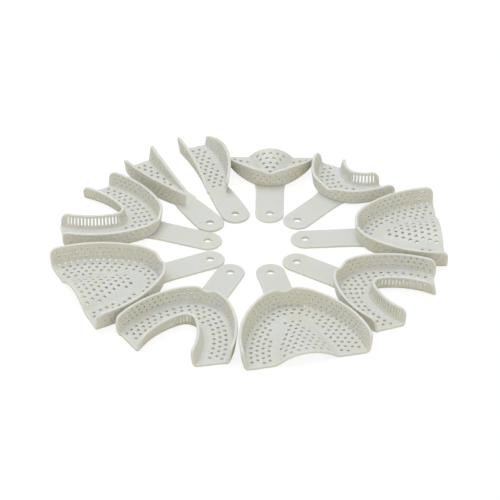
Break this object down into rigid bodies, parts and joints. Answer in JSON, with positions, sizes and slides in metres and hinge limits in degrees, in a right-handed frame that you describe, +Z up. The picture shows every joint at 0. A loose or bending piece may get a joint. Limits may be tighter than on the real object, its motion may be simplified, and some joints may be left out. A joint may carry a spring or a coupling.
{
  "type": "dental impression tray set",
  "caption": "Set of perforated plastic dental impression trays laid out in a ring: full upper and lower, front and quadrant shapes, each with a flat strap handle and hanging hole.",
  "frame": {"origin": "on the table under the middle of the set, at the centre of the bottom of its bounding box; the underside of every tray is at Z = 0", "axes": "+Z up from the table, trays open upwards; the large upper and large lower tray point to the front, -Y; +X to the right"},
  "size_m": [0.2549, 0.2529, 0.0155],
  "materials": {
    "ivory_plastic": "semi-gloss injection-moulded ivory polystyrene"
  },
  "bodies": {
    "anterior_tray_lower": {"anterior_tray_lower": "ivory_plastic"},
    "anterior_tray_upper": {"anterior_tray_upper": "ivory_plastic"},
    "lower_tray_large": {"lower_tray_large": "ivory_plastic"},
    "lower_tray_medium": {"lower_tray_medium": "ivory_plastic"},
    "lower_tray_small": {"lower_tray_small": "ivory_plastic"},
    "quadrant_tray_left": {"quadrant_tray_left": "ivory_plastic"},
    "quadrant_tray_right": {"quadrant_tray_right": "ivory_plastic"},
    "upper_tray_large": {"upper_tray_large": "ivory_plastic"},
    "upper_tray_medium": {"upper_tray_medium": "ivory_plastic"},
    "upper_tray_small": {"upper_tray_small": "ivory_plastic"}
  },
  "joints": [
    {"name": "anterior_tray_lower_lift", "type": "slide", "parent": "upper_tray_large", "child": "anterior_tray_lower", "axis": [0, 0, 1], "range_m": [0, 0.06]},
    {"name": "anterior_tray_upper_lift", "type": "slide", "parent": "upper_tray_large", "child": "anterior_tray_upper", "axis": [0, 0, 1], "range_m": [0, 0.06]},
    {"name": "lower_tray_large_lift", "type": "slide", "parent": "upper_tray_large", "child": "lower_tray_large", "axis": [0, 0, 1], "range_m": [0, 0.06]},
    {"name": "lower_tray_medium_lift", "type": "slide", "parent": "upper_tray_large", "child": "lower_tray_medium", "axis": [0, 0, 1], "range_m": [0, 0.06]},
    {"name": "lower_tray_small_lift", "type": "slide", "parent": "upper_tray_large", "child": "lower_tray_small", "axis": [0, 0, 1], "range_m": [0, 0.06]},
    {"name": "quadrant_tray_left_lift", "type": "slide", "parent": "upper_tray_large", "child": "quadrant_tray_left", "axis": [0, 0, 1], "range_m": [0, 0.06]},
    {"name": "quadrant_tray_right_lift", "type": "slide", "parent": "upper_tray_large", "child": "quadrant_tray_right", "axis": [0, 0, 1], "range_m": [0, 0.06]},
    {"name": "upper_tray_medium_lift", "type": "slide", "parent": "upper_tray_large", "child": "upper_tray_medium", "axis": [0, 0, 1], "range_m": [0, 0.06]},
    {"name": "upper_tray_small_lift", "type": "slide", "parent": "upper_tray_large", "child": "upper_tray_small", "axis": [0, 0, 1], "range_m": [0, 0.06]}
  ]
}
